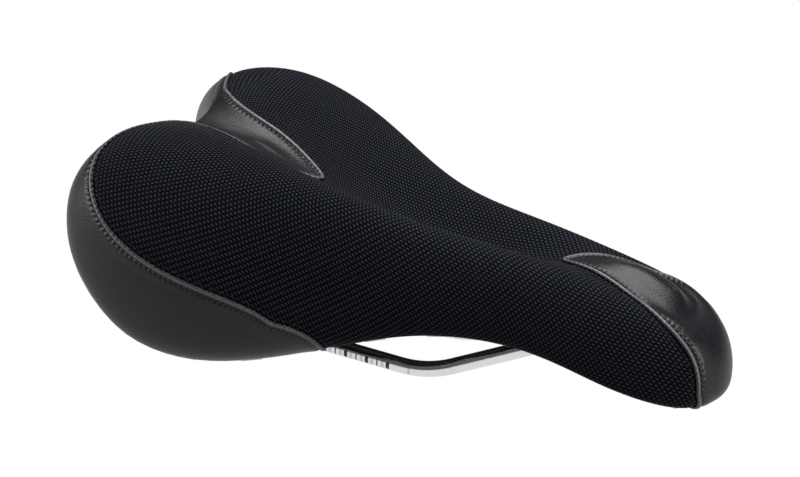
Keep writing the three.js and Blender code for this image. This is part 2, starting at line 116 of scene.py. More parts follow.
# %% Helpers for node trees
def add_node(tree, kind, **settings):
    node = tree.nodes.new(kind)
    for name, value in settings.items():
        if name in node.inputs:
            node.inputs[name].default_value = value
        else:
            setattr(node, name, value)
    return node


def maths(tree, operation, first, second=None, third=None):
    node = tree.nodes.new("ShaderNodeMath")
    node.operation = operation
    for socket, value in zip(node.inputs, (first, second, third)):
        if value is None:
            continue
        if isinstance(value, (int, float)):
            socket.default_value = value
        else:
            tree.links.new(value, socket)
    return node.outputs[0]


# %% Floor, backdrop and lights
FLOOR_DROP = 0.2
WORLD_WHITE = {"to_camera": 1.0, "in_reflections": 0.1, "to_pieces": 0.06}
FLOOR_WHITE = {"to_camera": 1.0, "in_reflections": 0.85, "to_pieces": 0.05}
WHITE = (1, 1, 1, 1)


def studio_white(tree, output, to_camera, in_reflections, to_pieces):
    """White of one strength for the camera, another in reflections and a third as fill light."""
    path = tree.nodes.new("ShaderNodeLightPath")
    fill = maths(tree, "MULTIPLY_ADD", path.outputs["Is Glossy Ray"], in_reflections - to_pieces, to_pieces)
    seen = maths(tree, "MULTIPLY", path.outputs["Is Camera Ray"], to_camera)
    strength = maths(tree, "MAXIMUM", seen, fill)
    glow = tree.nodes.new("ShaderNodeBackground" if tree == world.node_tree else "ShaderNodeEmission")
    glow.inputs["Color"].default_value = WHITE
    tree.links.new(strength, glow.inputs["Strength"])
    tree.links.new(glow.outputs[0], output)


world = bpy.data.worlds.new("studio")
world.use_nodes = True
bpy.context.scene.world = world
world.node_tree.nodes.clear()
world_output = world.node_tree.nodes.new("ShaderNodeOutputWorld")
studio_white(world.node_tree, world_output.inputs["Surface"], **WORLD_WHITE)

clear_selection()
bpy.ops.mesh.primitive_plane_add(size=12, location=(0, 0, cad_box[0][2] - FLOOR_DROP))
floor = bpy.context.object
floor.name = "studio_floor"
floor_paint = bpy.data.materials.new("pale_floor")
floor_paint.use_nodes = True
floor_paint.node_tree.nodes.clear()
floor_output = floor_paint.node_tree.nodes.new("ShaderNodeOutputMaterial")
studio_white(floor_paint.node_tree, floor_output.inputs["Surface"], **FLOOR_WHITE)
floor.data.materials.append(floor_paint)


def soft_box(name, place, aim, size, power):
    light = bpy.data.lights.new(name, "AREA")
    light.shape = "RECTANGLE"
    light.size, light.size_y = size
    light.energy = power
    lamp = bpy.data.objects.new(name, light)
    bpy.context.scene.collection.objects.link(lamp)
    lamp.location = place
    lamp.rotation_euler = (Vector(aim) - Vector(place)).to_track_quat("-Z", "Y").to_euler()


soft_box("top_box", (0.05, 0.1, 0.9), (0, 0, 0.05), (0.9, 0.7), 14)
soft_box("rear_box", (-0.75, -0.45, 0.3), (-0.08, -0.03, 0.04), (0.35, 0.5), 4.5)
soft_box("nose_box", (0.85, -0.25, 0.25), (0.14, 0, 0.03), (0.3, 0.4), 4)
bpy.context.scene.view_settings.view_transform = "Standard"
print("studio: 3 soft boxes, floor", FLOOR_DROP, "m under the rails")

# %% [markdown]
# ## The cover's surface
# The cover is one smooth surface with four guide lines along each side: the bottom of the centre
# channel, the crest of the pad, the widest line and the rim. Between the guides it is a hollow, a
# rounded shoulder, a side wall and a lip that turns in under the rim. `u` runs from the rear centre
# to the nose centre and `t` from the centre line outwards: 1 on the crest, 2 at the widest, 3 on the
# rim, 4 at the edge of the lip. Extruding or bevelling a primitive can't follow such lines, so the
# surface is a formula, and grids are laid on it. Lengths in this part are in millimetres, as on a
# drawing.

# %% Guide lines
WIDEST_LINE = [
    [-102, 0, 61], [-117, 32, 58], [-127, 62, 51], [-100, 78, 34], [-51, 75, 23], [-9, 53, 27],
    [28, 39, 35], [71, 33, 35], [111, 32, 24], [143, 22, 23], [155, 0, 23]]
CREST_LINE = [
    [-100, 0, 78], [-95, 25, 86], [-80, 45, 93], [-59, 49, 92], [-34, 45, 85], [-5, 34, 75],
    [26, 24, 67], [66, 19, 63], [104, 16, 58], [130, 14, 51], [137, 0, 48]]
CENTRE_LINE = [
    [-70, 0, 76], [-64, 0, 75], [-56, 0, 72], [-44, 0, 68], [-25, 0, 63], [0, 0, 57],
    [30, 0, 53], [65, 0, 55], [100, 0, 63], [120, 0, 60], [126, 0, 57]]
RIM_LINE = [
    [-96, 0, 41], [-110, 32, 35], [-115, 57, 26], [-93, 73, 7], [-52, 66, 0], [-11, 46, 9],
    [28, 35, 22], [69, 29, 26], [109, 28, 20], [139, 18, 14], [150, 0, 15]]
REAR_SEAM = [
    [0.342, 0], [0.258, 0.21], [0.118, 0.485], [0.096, 1.11],
    [0.176, 1.41], [0.303, 1.8], [0.455, 2], [0.504, 3]]
NOSE_SEAM = [[0.733, 0], [0.801, 0.75], [0.893, 1.45], [0.919, 2.08], [0.931, 3]]
SIDE_FULLNESS = 0.78
LIP_WIDTH, LIP_DROP, LIP_ROUNDING = 8, 1.5, 0.35
COVER_THICKNESS = 1.2


def spline(values, flat_ends):
    """A cubic spline through evenly spaced values, read at 0 to 1, with flat or straight ends."""
    v = np.asarray(values, float)
    last = len(v) - 1
    matrix = np.diag(np.full(last + 1, 4.0)) + np.diag(np.ones(last), 1) + np.diag(np.ones(last), -1)
    matrix[0, 0] = matrix[last, last] = 2
    bend_of = np.zeros(last + 1)
    bend_of[1:last] = 6 * (v[2:] - 2 * v[1:-1] + v[:-2])
    if flat_ends:
        bend_of[0], bend_of[last] = 6 * (v[1] - v[0]), 6 * (v[last - 1] - v[last])
    else:
        matrix[0, 1] = matrix[last, last - 1] = 0
    bend = np.linalg.solve(matrix, bend_of)

    def at(place):
        s = np.clip(place, 0, 1) * last
        i = np.minimum(np.floor(s).astype(int), last - 1)
        b = s - i
        a = 1 - b
        return a * v[i] + b * v[i + 1] + ((a ** 3 - a) * bend[i] + (b ** 3 - b) * bend[i + 1]) / 6
    return at


def guide(points):
    x, y, z = zip(*points)
    parts = spline(x, True), spline(y, False), spline(z, True)
    return lambda u: np.stack([part(u) for part in parts], -1)


widest, crest, centre, rim = (guide(line) for line in (WIDEST_LINE, CREST_LINE, CENTRE_LINE, RIM_LINE))


def smooth(x):
    s = np.clip(x, 0, 1)
    return s * s * (3 - 2 * s)


def bezier(a, b, c, s):
    return (1 - s) ** 2 * a + 2 * s * (1 - s) * b + s * s * c


def inward(u):
    """Horizontal direction from the rim towards the inside of the saddle."""
    step = 0.002
    along = rim(np.minimum(u + step, 1)) - rim(np.maximum(u - step, 0))
    along[..., 0] = np.where((u <= 0) | (u >= 1), 0, along[..., 0])
    way = np.stack([along[..., 1], -along[..., 0], 0 * along[..., 0]], -1)
    return way / np.linalg.norm(way, axis=-1, keepdims=True)


def surface(u, t):
    """The outside of the cover on the left half, in millimetres."""
    u, t = np.broadcast_arrays(np.asarray(u, float), np.asarray(t, float))
    low, top, side, edge = centre(u), crest(u), widest(u), rim(u)
    s = t[..., None]
    hollow = low + (top - low) * np.concatenate([np.clip(s, 0, 1)] * 2 + [smooth(s)], -1)
    angle = np.clip(s - 1, 0, 1) * np.pi / 2
    shoulder = np.concatenate([
        top[..., :2] + (side - top)[..., :2] * np.sin(angle),
        side[..., 2:] + (top - side)[..., 2:] * np.cos(angle)], -1)
    middle = side.copy()
    middle[..., 2] += (edge - side)[..., 2] * SIDE_FULLNESS
    wall = bezier(side, middle, edge, np.clip(s - 2, 0, 1))
    turn = edge + inward(u) * LIP_WIDTH * LIP_ROUNDING - [0, 0, LIP_DROP]
    lip = bezier(edge, turn, edge + inward(u) * LIP_WIDTH, np.clip(s - 3, 0, 1))
    return np.where(s <= 1, hollow, np.where(s <= 2, shoulder, np.where(s <= 3, wall, lip)))


def outward(u, t):
    """Unit normal of the surface on the left half."""
    u, t = np.broadcast_arrays(np.asarray(u, float), np.asarray(t, float))
    step = 0.004
    end = np.where(t < 0.1, 0.03, step)
    near_u, near_t = np.clip(u, end, 1 - end), np.clip(t, step, 4 - step)
    along = surface(near_u + step, near_t) - surface(near_u - step, near_t)
    across = surface(near_u, near_t + step) - surface(near_u, near_t - step)
    normal = np.cross(along, across)
    normal[..., 1] = np.where((u <= 0) | (u >= 1) | (t <= 0), 0, normal[..., 1])
    return normal / np.linalg.norm(normal, axis=-1, keepdims=True)


length_over_top = np.linalg.norm(np.diff(crest(np.linspace(0, 1, 400)), axis=0), axis=1).sum()
print("length of the crest over the top:", round(length_over_top), "mm")

# %% [markdown]
# ## Seams
# Each seam is a route in `u` and `t` from the centre line down to the rim. A sewn edge has the same
# section all along: the leather's edge is folded under and stands proud, a row of stitches pulls it
# down just inside the fold, and a second row holds the fabric. So the columns of every panel keep a
# constant true distance from the seam next to it, found here by measuring rows of points against it.


# %% Distances from a seam
def seam_of(route):
    place, across = spline([p[0] for p in route], True), spline([p[1] for p in route], False)
    k = np.linspace(0, 1, 4001)
    low_edge = np.linspace(3.01, 4, 100)
    t = np.concatenate([np.maximum.accumulate(across(k)), low_edge])
    u = np.concatenate([place(k), np.full(len(low_edge), route[-1][0])])
    return lambda at: np.interp(at, t, u)


rear_seam, nose_seam = seam_of(REAR_SEAM), seam_of(NOSE_SEAM)


def even_line(seam, count):
    """Values of t that cut a seam into equal lengths, and the points there."""
    fine = np.linspace(0, 4, 6000)
    steps = np.linalg.norm(np.diff(surface(seam(fine), fine), axis=0), axis=1)
    length = np.concatenate([[0], np.cumsum(steps)])
    t = np.interp(np.linspace(0, length[-1], count), length, fine)
    return t, surface(seam(t), t), np.linspace(0, length[-1], count)


def shared_rows(count):
    """Rows of t, close together wherever a seam or the surface itself covers ground quickly."""
    fine = np.linspace(0, 4, 3000)
    routes = [rear_seam(fine), nose_seam(fine)] + [np.full(len(fine), u) for u in (0.1, 0.3, 0.6, 0.9)]
    steps = [np.linalg.norm(np.diff(surface(u, fine), axis=0), axis=1) for u in routes]
    ground = np.concatenate([[0], np.cumsum(np.max(steps, axis=0))])
    return np.interp(np.linspace(0, ground[-1], count), ground, fine)


ROWS = shared_rows(120)


def distance_finder(seam):
    """Gives, for a distance from the seam, the u on each row; positive is towards the nose."""
    line = even_line(seam, 900)[1]
    span = np.linspace(-0.22, 0.22, 441)
    table = []
    for t in ROWS:
        u = np.clip(seam(t) + span, 0, 1)
        points = surface(u, np.full(len(u), t))
        gap = np.sqrt(((points[:, None] - line[None]) ** 2).sum(-1).min(1))
        table.append((u, np.maximum.accumulate(gap * np.sign(span))))
    return lambda distance: np.array([np.interp(distance, gap, u) for u, gap in table])


rear_at, nose_at = distance_finder(rear_seam), distance_finder(nose_seam)
print("rows:", len(ROWS), " rear seam half:", round(even_line(rear_seam, 9)[2][-1]), "mm, nose seam half:",
      round(even_line(nose_seam, 9)[2][-1]), "mm")

# %% [markdown]
# ## Sewn edges
# Each list is the section of an edge, from the raw edge inwards: how far a line of points lies from
# the seam, and how far it stands off the pad, in millimetres. The leather's starts past the seam,
# over the fabric, rolls back and dips where the needle went through. The fabric's dips more gently.

# %% Edge sections
LEATHER_EDGE = [
    (-0.9, -0.2), (-1.15, 0.1), (-1.05, 0.5), (-0.6, 0.82), (0, 0.9), (0.6, 0.78), (1.1, 0.36),
    (1.6, 0.05), (2.1, 0.22), (2.9, 0.36), (4, 0.32), (5.5, 0.18), (8, 0)]
FABRIC_EDGE = [(0, -0.45), (0.8, -0.4), (1.4, -0.24), (2.0, -0.16), (2.6, -0.3), (3.3, -0.1), (5, 0)]
STITCH_IN_LEATHER, STITCH_IN_FABRIC = 1.6, 2.6


def columns(start, end, count):
    """Columns of u between two, without the first and the last."""
    return [start + (end - start) * i / count for i in range(1, count)]


def panel_columns(at, section, side):
    """One column of u for each line of a section; side is +1 where the panel lies towards the nose."""
    return [at(side * distance) for distance, height in section], [height for distance, height in section]


centre_column = np.zeros(len(ROWS))
rear_edge_u, rear_edge_h = panel_columns(rear_at, LEATHER_EDGE, -1)
rear_fabric_u, rear_fabric_h = panel_columns(rear_at, FABRIC_EDGE, 1)
nose_fabric_u, nose_fabric_h = panel_columns(nose_at, FABRIC_EDGE, -1)
nose_edge_u, nose_edge_h = panel_columns(nose_at, LEATHER_EDGE, 1)
REAR_INNER, FABRIC_INNER, NOSE_INNER = 34, 72, 22
rear_u = [centre_column] + columns(centre_column, rear_edge_u[-1], REAR_INNER) + rear_edge_u[::-1]
rear_h = [0] * REAR_INNER + rear_edge_h[::-1]
fabric_u = rear_fabric_u + columns(rear_fabric_u[-1], nose_fabric_u[-1], FABRIC_INNER) + nose_fabric_u[::-1]
fabric_h = rear_fabric_h + [0] * (FABRIC_INNER - 1) + nose_fabric_h[::-1]
nose_u = nose_edge_u + columns(nose_edge_u[-1], centre_column + 1, NOSE_INNER) + [centre_column + 1]
nose_h = nose_edge_h + [0] * NOSE_INNER
print("columns:", len(rear_u), len(fabric_u), len(nose_u))

# %% [markdown]
# ## From a grid to a panel
# Each panel starts as a flat grid, which is what a cutter has too: a flat piece of cloth. Its points
# are then moved onto the pad, as the cover is pulled over it, and the mirrored rows make the other
# half. A UV map in metres follows the threads, along the saddle and across it, so that a weave keeps
# its size. A second map holds each point's distance from the nearest seam and its place along it.


# %% Panels
def lay_grid(name, cols, rows):
    clear_selection()
    bpy.ops.mesh.primitive_grid_add(x_subdivisions=cols - 1, y_subdivisions=rows - 1, size=1)
    piece = bpy.context.object
    piece.name = piece.data.name = name
    place = np.zeros(len(piece.data.vertices) * 3, np.float32)
    piece.data.vertices.foreach_get("co", place)
    place = place.reshape(-1, 3)
    col = np.rint((place[:, 0] + 0.5) * (cols - 1)).astype(int)
    row = np.rint((place[:, 1] + 0.5) * (rows - 1)).astype(int)
    return piece, col, row


def move_points(piece, points):
    piece.data.vertices.foreach_set("co", (points * MM).astype(np.float32).ravel())
    piece.data.update()


def add_uv(piece, name, values):
    layer = piece.data.uv_layers.get(name) or piece.data.uv_layers.new(name=name)
    corner = np.zeros(len(piece.data.loops), np.int32)
    piece.data.loops.foreach_get("vertex_index", corner)
    layer.data.foreach_set("uv", values[corner].astype(np.float32).ravel())


def thread_places(u, t):
    """Length along the shoulder and across the surface, in metres: the run of the cloth's threads."""
    fine = np.linspace(0, 1, 500)
    shoulder = surface(fine, np.full(500, 1.4))
    along = np.concatenate([[0], np.cumsum(np.linalg.norm(np.diff(shoulder, axis=0), axis=1))])
    table_u, table_t = np.linspace(0, 1, 120), np.linspace(0, 4, 161)
    net = surface(*np.meshgrid(table_u, table_t, indexing="ij"))
    steps = np.linalg.norm(np.diff(net, axis=1), axis=2)
    across = np.concatenate([np.zeros((120, 1)), np.cumsum(steps, 1)], 1)
    i, j = u * 119, t * 40
    i0, j0 = np.minimum(i.astype(int), 118), np.minimum(j.astype(int), 159)
    a, b = i - i0, j - j0
    value = ((1 - a) * (1 - b) * across[i0, j0] + a * (1 - b) * across[i0 + 1, j0]
             + (1 - a) * b * across[i0, j0 + 1] + a * b * across[i0 + 1, j0 + 1])
    return np.interp(u, fine, along) * MM, value * MM


def seam_places(points, seams):
    """Distance from the nearest of some seams and the place along it, in metres."""
    best = np.full(len(points), np.inf)
    along = np.zeros(len(points))
    for seam in seams:
        t, line, length = even_line(seam, 500)
        for start in range(0, len(points), 2000):
            part = slice(start, start + 2000)
            gap = np.sqrt(((points[part, None] - line[None]) ** 2).sum(-1))
            nearest = gap.argmin(1)
            closer = gap.min(1) < best[part]
            best[part] = np.where(closer, gap.min(1), best[part])
            along[part] = np.where(closer, length[nearest], along[part])
    return np.stack([best, along], 1) * MM


def unevenness(points):
    """Hand-stretched cloth is never quite fair: slow swells, at most a fifth of a millimetre."""
    x, y, z = points.T
    return 0.07 * np.sin(x / 9 + y / 17) + 0.06 * np.sin(y / 7 - x / 23 + 1) + 0.05 * np.sin(z / 6 + x / 13)


def sewn_panel(name, column_u, column_h, seams):
    half = len(ROWS)
    piece, col, row = lay_grid(name, len(column_u), 2 * half - 1)
    u_grid, heights = np.array(column_u), np.array(column_h)
    from_centre = row - (half - 1)
    t = ROWS[np.abs(from_centre)]
    u = u_grid[col, np.abs(from_centre)]
    side = np.where(from_centre < 0, -1, 1)
    on_pad = surface(u, t)
    lift = heights[col] * smooth((3.9 - t) / 0.6) + unevenness(on_pad) * (t > 0)
    points = on_pad + outward(u, t) * lift[:, None]
    mirror = np.stack([np.ones(len(side)), side, np.ones(len(side))], 1)
    move_points(piece, points * mirror)
    along, across = thread_places(u, t)
    add_uv(piece, "UVMap", np.stack([along, across * side], 1))
    add_uv(piece, "seam", seam_places(on_pad, seams) * np.stack([np.ones(len(side)), side], 1))
    make_active(piece)
    bpy.ops.object.mode_set(mode="EDIT")
    bpy.ops.mesh.select_all(action="SELECT")
    bpy.ops.mesh.remove_doubles(threshold=0.00002)
    bpy.ops.object.mode_set(mode="OBJECT")
    area = sum(face.area for face in piece.data.polygons)
    wall = piece.modifiers.new("thickness", "SOLIDIFY")
    wall.thickness = COVER_THICKNESS * MM
    wall.offset = -1
    bpy.ops.object.modifier_apply(modifier=wall.name)
    bpy.ops.object.shade_smooth()
    print(name, len(piece.data.polygons), "faces,", round(area * 1e4), "cm2")
    return piece, area


rear_panel, rear_area = sewn_panel("rear_leather_panel", rear_u, rear_h, [rear_seam])
fabric_panel, fabric_area = sewn_panel("main_fabric_panel", fabric_u, fabric_h, [rear_seam, nose_seam])
nose_panel, nose_area = sewn_panel("nose_leather_panel", nose_u, nose_h, [nose_seam])

# %% [markdown]
# ## Stitches
# Topstitching is a row of short thread loops that come up through the cover, lie on it and go down
# again. A curve with a dashed texture would be quicker, but each stitch really stands up and catches
# the light, so one stitch is modelled, from a cylinder whose ends are pulled in and pushed down, and
# then copied along the row, turned to the seam and to the surface.

# %% One stitch
STITCH_LENGTH, STITCH_PITCH, STITCH_RADIUS = 2.0, 2.4, 0.27


def make_stitch():
    clear_selection()
    bpy.ops.mesh.primitive_cylinder_add(
        vertices=6, radius=STITCH_RADIUS, depth=STITCH_LENGTH, end_fill_type="TRIFAN",
        rotation=(0, math.pi / 2, 0))
    stitch = bpy.context.object
    bpy.ops.object.transform_apply(location=True, rotation=True, scale=True)
    bpy.ops.object.mode_set(mode="EDIT")
    bpy.ops.mesh.select_all(action="SELECT")
    for share in (-0.25, 0.25):
        bpy.ops.mesh.bisect(plane_co=(share * STITCH_LENGTH, 0, 0), plane_no=(1, 0, 0))
        bpy.ops.mesh.select_all(action="SELECT")
    bpy.ops.object.mode_set(mode="OBJECT")
    for vertex in stitch.data.vertices:
        x = vertex.co.x / (STITCH_LENGTH / 2)
        thin = 1 - 0.35 * x ** 4
        vertex.co.y *= thin
        vertex.co.z = vertex.co.z * thin - 0.42 * x * x
    vertices = np.array([v.co for v in stitch.data.vertices])
    faces = [list(face.vertices) for face in stitch.data.polygons]
    bpy.data.objects.remove(stitch)
    return vertices, faces


stitch_points, stitch_faces = make_stitch()
print("one stitch:", len(stitch_faces), "faces")


# %% Rows of stitches
def stitch_row(name, at, distance, height):
    """Stitches along a line at a distance from a seam, over the saddle from rim to rim."""
    wanted = ROWS <= 3.2
    u, t = at(distance)[wanted], ROWS[wanted]
    points, normals = surface(u, t), outward(u, t)
    points = points + normals * (height + STITCH_RADIUS * 0.6)
    length = np.concatenate([[0], np.cumsum(np.linalg.norm(np.diff(points, axis=0), axis=1))])
    count = int(length[-1] / STITCH_PITCH)
    middles = (np.arange(count) + 0.5) * STITCH_PITCH
    read = lambda values, s: np.stack([np.interp(s, length, values[:, k]) for k in range(3)], 1)
    place, normal = read(points, middles), read(normals, middles)
    along = read(points, middles + 0.5) - read(points, middles - 0.5)
    vertices, faces = [], []
    for side in (1, -1):
        flip = np.array([1, side, 1])
        for p, n, a in zip(place * flip, normal * flip, along * flip):
            x = a / np.linalg.norm(a)
            y = np.cross(n, x)
            y /= np.linalg.norm(y)
            frame_of = np.stack([x, y, np.cross(x, y)])
            start = len(vertices) * len(stitch_points)
            vertices.append(stitch_points @ frame_of + p)
            faces += [[start + v for v in face] for face in stitch_faces]
    mesh = bpy.data.meshes.new(name)
    mesh.from_pydata((np.concatenate(vertices) * MM).tolist(), [], faces)
    row = bpy.data.objects.new(name, mesh)
    bpy.context.scene.collection.objects.link(row)
    make_active(row)
    bpy.ops.object.shade_smooth()
    print(name, 2 * count, "stitches")
    return row


stitches = {
    "seam_thread_rear_leather_side": stitch_row("rear_leather_stitches", rear_at, -STITCH_IN_LEATHER, 0.05),
    "seam_thread_rear_fabric_side": stitch_row("rear_fabric_stitches", rear_at, STITCH_IN_FABRIC, -0.3),
    "seam_thread_nose_fabric_side": stitch_row("nose_fabric_stitches", nose_at, -STITCH_IN_FABRIC, -0.3),
    "seam_thread_nose_leather_side": stitch_row("nose_leather_stitches", nose_at, STITCH_IN_LEATHER, 0.05)}

# %% [markdown]
# ## Foam pad
# The pad is moulded, so its shape is fixed by its tool and not by filling, and no simulation is run.
# It starts as a copy of the frame's pad, is remeshed into even cells and smoothed, which rounds off
# the facets as foam does. The cells blur its surface, so it is then drawn in a little, to stay clear
# of the shell and the cover. It shows through the slot of the shell, from below.

# %% Pad
PAD_CELL = 2.5
PAD_CLEARANCE = 0.8
pad = nodes["foam_pad"].copy()
pad.data = nodes["foam_pad"].data.copy()
pad.name = pad.data.name = "moulded_foam_pad"
pad.parent = None
for key in list(pad.keys()):
    del pad[key]
bpy.context.scene.collection.objects.link(pad)
make_active(pad)
bpy.ops.object.mode_set(mode="EDIT")
bpy.ops.mesh.select_all(action="SELECT")
bpy.ops.mesh.remove_doubles(threshold=0.00001)
bpy.ops.object.mode_set(mode="OBJECT")
remesh = pad.modifiers.new("even_cells", "REMESH")
remesh.mode = "VOXEL"
remesh.voxel_size = PAD_CELL * MM
bpy.ops.object.modifier_apply(modifier=remesh.name)
relax = pad.modifiers.new("rounding", "SMOOTH")
relax.factor, relax.iterations = 0.5, 6
bpy.ops.object.modifier_apply(modifier=relax.name)
clearance = pad.modifiers.new("clear_of_shell_and_cover", "DISPLACE")
clearance.strength = -PAD_CLEARANCE * MM
clearance.mid_level = 0
bpy.ops.object.modifier_apply(modifier=clearance.name)
bpy.ops.object.shade_smooth()
print("pad:", len(pad.data.polygons), "faces")

# %% [markdown]
# ## Rails
# Each rail is a 7 mm rod bent in a jig: straight runs joined by round bends. It is made the same way
# here. A circle is laid across the rear end, extruded along each straight run and spun round the
# centre of each bend. A curve with a bevel would do as well, but its bends aren't true arcs.

# %% Rails
RAIL_RADIUS = 3.5
RAIL_CORNERS = [Vector(c) for c in (
    (-95, 39, 48), (-78, 34, 43), (-38, 22, 0), (30, 22, 0), (84, 12, 27), (119, 8, 32))]
BEND_REACH = [0, 8, 13, 12, 12, 0]
RAIL_SIDES, BEND_STEPS = 32, 12


def make_rail(name):
    clear_selection()
    first_way = (RAIL_CORNERS[1] - RAIL_CORNERS[0]).normalized()
    turn = Vector((0, 0, 1)).rotation_difference(first_way).to_euler()
    bpy.ops.mesh.primitive_circle_add(
        vertices=RAIL_SIDES, radius=RAIL_RADIUS * MM, fill_type="TRIFAN",
        location=RAIL_CORNERS[0] * MM, rotation=turn)
    rail = bpy.context.object
    rail.name = rail.data.name = name
    bpy.ops.object.transform_apply(location=True, rotation=True, scale=True)
    bpy.ops.object.mode_set(mode="EDIT")
    bpy.ops.mesh.select_all(action="SELECT")
    start = RAIL_CORNERS[0]
    for before, corner, after, reach in zip(RAIL_CORNERS, RAIL_CORNERS[1:], RAIL_CORNERS[2:], BEND_REACH[1:]):
        way_in, way_out = (corner - before).normalized(), (after - corner).normalized()
        enter = corner - way_in * reach
        bpy.ops.mesh.extrude_region_move(TRANSFORM_OT_translate={"value": (enter - start) * MM})
        angle = way_in.angle(way_out)
        radius = reach / math.tan(angle / 2)
        axis = way_in.cross(way_out).normalized()
        middle = enter + axis.cross(way_in).normalized() * radius
        bpy.ops.mesh.spin(steps=BEND_STEPS, angle=-angle, center=middle * MM, axis=axis)
        start = corner + way_out * reach
    bpy.ops.mesh.extrude_region_move(TRANSFORM_OT_translate={"value": (RAIL_CORNERS[-1] - start) * MM})
    bpy.ops.mesh.select_all(action="SELECT")
    bpy.ops.mesh.remove_doubles(threshold=0.00001)
    bpy.ops.mesh.normals_make_consistent(inside=False)
    bpy.ops.object.mode_set(mode="OBJECT")
    bevel = rail.modifiers.new("rounded_ends", "BEVEL")
    bevel.width = 0.5 * MM
    bevel.segments = 2
    bevel.limit_method = "ANGLE"
    bevel.angle_limit = math.radians(60)
    bpy.ops.object.modifier_apply(modifier=bevel.name)
    bpy.ops.object.shade_smooth_by_angle(angle=math.radians(40))
    return rail


left_rail = make_rail("left_rail_rod")
right_rail = left_rail.copy()
right_rail.data = left_rail.data.copy()
right_rail.name = right_rail.data.name = "right_rail_rod"
bpy.context.scene.collection.objects.link(right_rail)
right_rail.data.transform(Matrix.Scale(-1, 4, (0, 1, 0)))
right_rail.data.flip_normals()
for rail, node in ((left_rail, "rail_left"), (right_rail, "rail_right")):
    low, high = (Vector(corner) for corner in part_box(node))
    points = [v.co for v in rail.data.vertices]
    print(rail.name, len(rail.data.polygons), "faces, ends in x", round(min(p.x for p in points) / MM, 1),
          round(max(p.x for p in points) / MM, 1), "mm; frame", round(low.x / MM, 1), round(high.x / MM, 1))

# %% [markdown]
# ## Effects that several finishes share
# Four shader groups, each built once and used with its own values: a woven pattern of short raised
# picks, a fine grain, a slow variation of tone with dust, and the puckers that stitches draw along a
# seam. Each gives out a mask or a height, and the shader itself stays in the material.


# %% Shader groups
def new_group(name, inputs, outputs):
    tree = bpy.data.node_groups.new(name, "ShaderNodeTree")
    for kind, label, value in inputs:
        socket = tree.interface.new_socket(label, in_out="INPUT", socket_type=kind)
        if value is not None:
            socket.default_value = value
    for kind, label in outputs:
        tree.interface.new_socket(label, in_out="OUTPUT", socket_type=kind)
    return tree, tree.nodes.new("NodeGroupInput").outputs, tree.nodes.new("NodeGroupOutput").inputs


FLOAT, VECTOR = "NodeSocketFloat", "NodeSocketVector"


def woven_picks():
    """Short raised threads in rows, each row set off by half a pitch."""
    tree, given, result = new_group(
        "woven_picks",
        [(VECTOR, "Thread Map", None), (FLOAT, "Pitch", 0.0022), (FLOAT, "Row", 0.00148),
         (FLOAT, "Pick Length", 0.62), (FLOAT, "Pick Width", 0.66)],
        [(FLOAT, "Pick"), (FLOAT, "Height")])
    split = tree.nodes.new("ShaderNodeSeparateXYZ")
    tree.links.new(given["Thread Map"], split.inputs[0])
    y = maths(tree, "DIVIDE", split.outputs[1], given["Row"])
    shift = maths(tree, "MULTIPLY", maths(tree, "FLOOR", y), 0.5)
    x = maths(tree, "ADD", maths(tree, "DIVIDE", split.outputs[0], given["Pitch"]), shift)
    from_middle_x = maths(tree, "SUBTRACT", maths(tree, "FRACT", x), 0.5)
    from_middle_y = maths(tree, "SUBTRACT", maths(tree, "FRACT", y), 0.5)
    part_x = maths(tree, "POWER", maths(tree, "DIVIDE", maths(tree, "ABSOLUTE", from_middle_x),
                                        maths(tree, "MULTIPLY", given["Pick Length"], 0.5)), 2.5)
    part_y = maths(tree, "POWER", maths(tree, "DIVIDE", maths(tree, "ABSOLUTE", from_middle_y),
                                        maths(tree, "MULTIPLY", given["Pick Width"], 0.5)), 2)
    round_off = maths(tree, "SUBTRACT", 1, maths(tree, "ADD", part_x, part_y))
    height = maths(tree, "MAXIMUM", round_off, 0)
    tree.links.new(maths(tree, "POWER", height, 0.5), result["Height"])
    tree.links.new(maths(tree, "SMOOTH_MIN", maths(tree, "MULTIPLY", height, 2.5), 1, 0.3), result["Pick"])
    return tree


def fine_grain():
    """Pebbles and creases of a moulded or pressed skin, as a height."""
    tree, given, result = new_group(
        "fine_grain", [(FLOAT, "Cell", 0.0009), (FLOAT, "Crease", 0.5)], [(FLOAT, "Height")])
    where = tree.nodes.new("ShaderNodeTexCoord").outputs["Object"]
    size = maths(tree, "DIVIDE", 1, given["Cell"])
    cells = add_node(tree, "ShaderNodeTexVoronoi", feature="SMOOTH_F1")
    speckle = add_node(tree, "ShaderNodeTexNoise", Detail=3.0)
    for texture, share in ((cells, 1.0), (speckle, 0.6)):
        tree.links.new(where, texture.inputs["Vector"])
        tree.links.new(maths(tree, "MULTIPLY", size, share), texture.inputs["Scale"])
    pebble = maths(tree, "MULTIPLY", cells.outputs["Distance"], given["Crease"])
    tree.links.new(maths(tree, "SUBTRACT", speckle.outputs["Fac"], pebble), result["Height"])
    return tree


